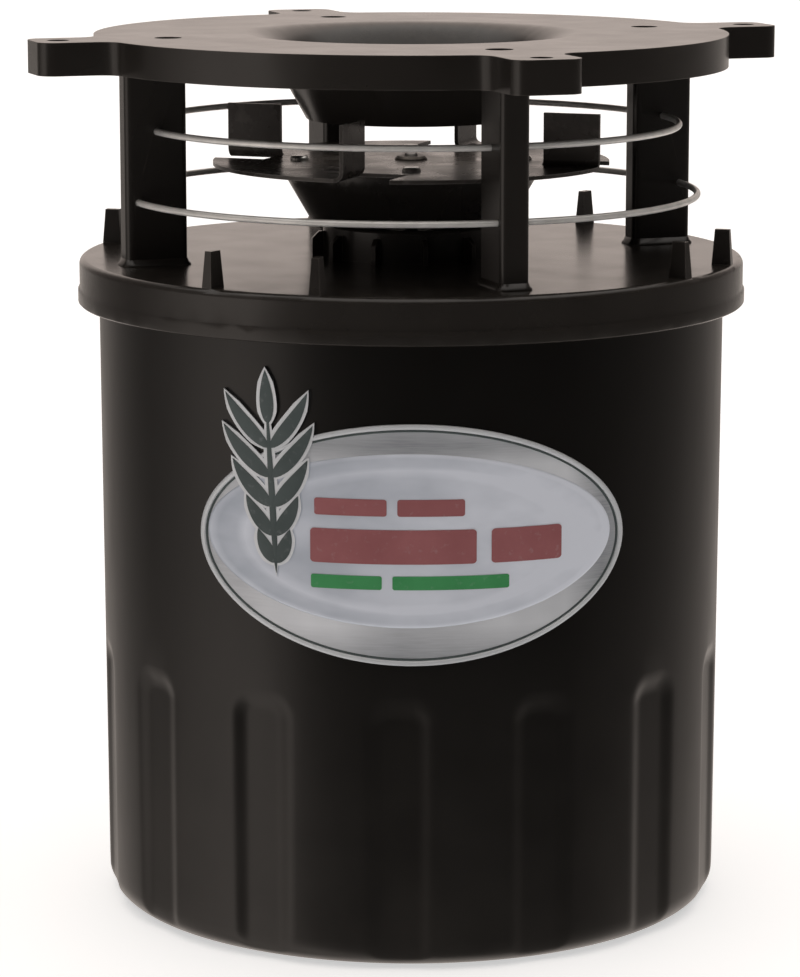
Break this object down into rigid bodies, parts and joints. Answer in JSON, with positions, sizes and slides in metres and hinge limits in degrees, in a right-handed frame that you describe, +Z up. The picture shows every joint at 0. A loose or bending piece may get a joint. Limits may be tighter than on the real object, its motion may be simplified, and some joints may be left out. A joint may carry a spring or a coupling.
{
  "type": "spin cast feeder",
  "caption": "Motor-driven spin cast feeder: funnel top plate with ears, guarded vaned spinner between posts, twist-off fluted canister with battery and timer.",
  "frame": {"origin": "centre of the canister's underside, on the surface it stands on", "axes": "+Z up along the spinner's axis, -Y towards the side with the oval badge, +X to the right when facing the badge"},
  "size_m": [0.2268, 0.2268, 0.2665],
  "materials": {
    "black_plastic": "semi-gloss, warm near-black moulded plastic",
    "badge_foil": "brushed silver foil with a bright rim",
    "seal_rubber": "matte",
    "galvanised_wire": "galvanised, satin",
    "dark_screw_steel": "blackened",
    "zinc_steel": "zinc plated",
    "spinner_steel": "dark semi-gloss sheet metal",
    "hub_plastic": "satin",
    "shaft_steel": "ground",
    "armature_copper": "enamelled copper",
    "motor_steel": "zinc plated can",
    "magnet_ferrite": "ferrite",
    "control_plastic": "fine texture",
    "bronze": "sintered bronze",
    "tinned_brass": "tinned",
    "felt": "felt",
    "board_green": "solder mask",
    "display_grey": "segment display",
    "window_clear": "clear",
    "switch_red": "moulded",
    "battery_jacket": "plain jacket with a band",
    "print_red": "printed red stripes on the badge",
    "print_green": "printed green stripe on the badge",
    "print_grey": "printed grey leaves and lines on the badge",
    "foil_light": "the badge's pale inner oval",
    "lead_red": "insulated",
    "lead_black": "insulated",
    "button_grey": "moulded rubber",
    "button_green": "moulded rubber"
  },
  "bodies": {
    "canister": {"canister": "black_plastic", "badge": "badge_foil"},
    "seal": {"gasket": "seal_rubber"},
    "head": {"head_lid": "black_plastic", "top_plate": "black_plastic", "post_right": "black_plastic", "post_rear": "black_plastic", "post_left": "black_plastic", "post_front": "black_plastic", "lead_grommets": "seal_rubber", "upper_guard_ring": "galvanised_wire", "lower_guard_ring": "galvanised_wire", "plate_screws": "dark_screw_steel", "post_foot_screws": "zinc_steel", "motor_screws": "zinc_steel", "control_screws": "zinc_steel", "control_hanger_screws": "zinc_steel", "cradle_screws": "zinc_steel", "motor_can": "motor_steel", "motor_magnets": "magnet_ferrite", "motor_end_cap": "control_plastic", "motor_front_bushing": "bronze", "motor_rear_bushing": "bronze", "motor_terminals": "tinned_brass", "shaft_seal": "felt", "control_box": "control_plastic", "control_cover": "control_plastic", "circuit_board": "board_green", "display_panel": "display_grey", "display_window": "window_clear", "battery": "battery_jacket", "positive_terminal": "tinned_brass", "negative_terminal": "tinned_brass", "battery_cradle": "control_plastic", "battery_lead_positive": "lead_red", "motor_lead_positive": "lead_red", "battery_lead_negative": "lead_black", "motor_lead_negative": "lead_black"},
    "spinner": {"spinner_plate": "spinner_steel", "spinner_hub": "hub_plastic", "spinner_rivets": "zinc_steel", "hub_set_screw": "dark_screw_steel", "shaft_clip": "dark_screw_steel", "motor_shaft": "shaft_steel", "motor_rotor": "armature_copper"},
    "power_switch": {"power_switch": "switch_red"},
    "button_clock": {"button_clock": "button_grey"},
    "button_timer": {"button_timer": "button_grey"},
    "button_run_time": {"button_run_time": "button_grey"},
    "button_test": {"button_test": "button_green"}
  },
  "joints": [
    {"name": "head_twist", "type": "hinge", "parent": "canister", "child": "seal", "pos_m": [0, 0, 0.1945], "axis": [0, 0, 1], "range_deg": [0, 25]},
    {"name": "head_lift", "type": "slide", "parent": "seal", "child": "head", "axis": [0, 0, 1], "range_m": [0, 0.2]},
    {"name": "spinner_spin", "type": "hinge", "parent": "head", "child": "spinner", "pos_m": [0, 0, 0.2266], "axis": [0, 0, 1], "continuous": true},
    {"name": "power_switch_slide", "type": "slide", "parent": "head", "child": "power_switch", "axis": [1, 0, 0], "range_m": [0, 0.004]},
    {"name": "button_clock_press", "type": "slide", "parent": "head", "child": "button_clock", "axis": [0, 1, 0], "range_m": [0, 0.001], "stiffness_N_per_m": 200},
    {"name": "button_timer_press", "type": "slide", "parent": "head", "child": "button_timer", "axis": [0, 1, 0], "range_m": [0, 0.001], "stiffness_N_per_m": 200},
    {"name": "button_run_time_press", "type": "slide", "parent": "head", "child": "button_run_time", "axis": [0, 1, 0], "range_m": [0, 0.001], "stiffness_N_per_m": 200},
    {"name": "button_test_press", "type": "slide", "parent": "head", "child": "button_test", "axis": [0, 1, 0], "range_m": [0, 0.001], "stiffness_N_per_m": 200}
  ]
}
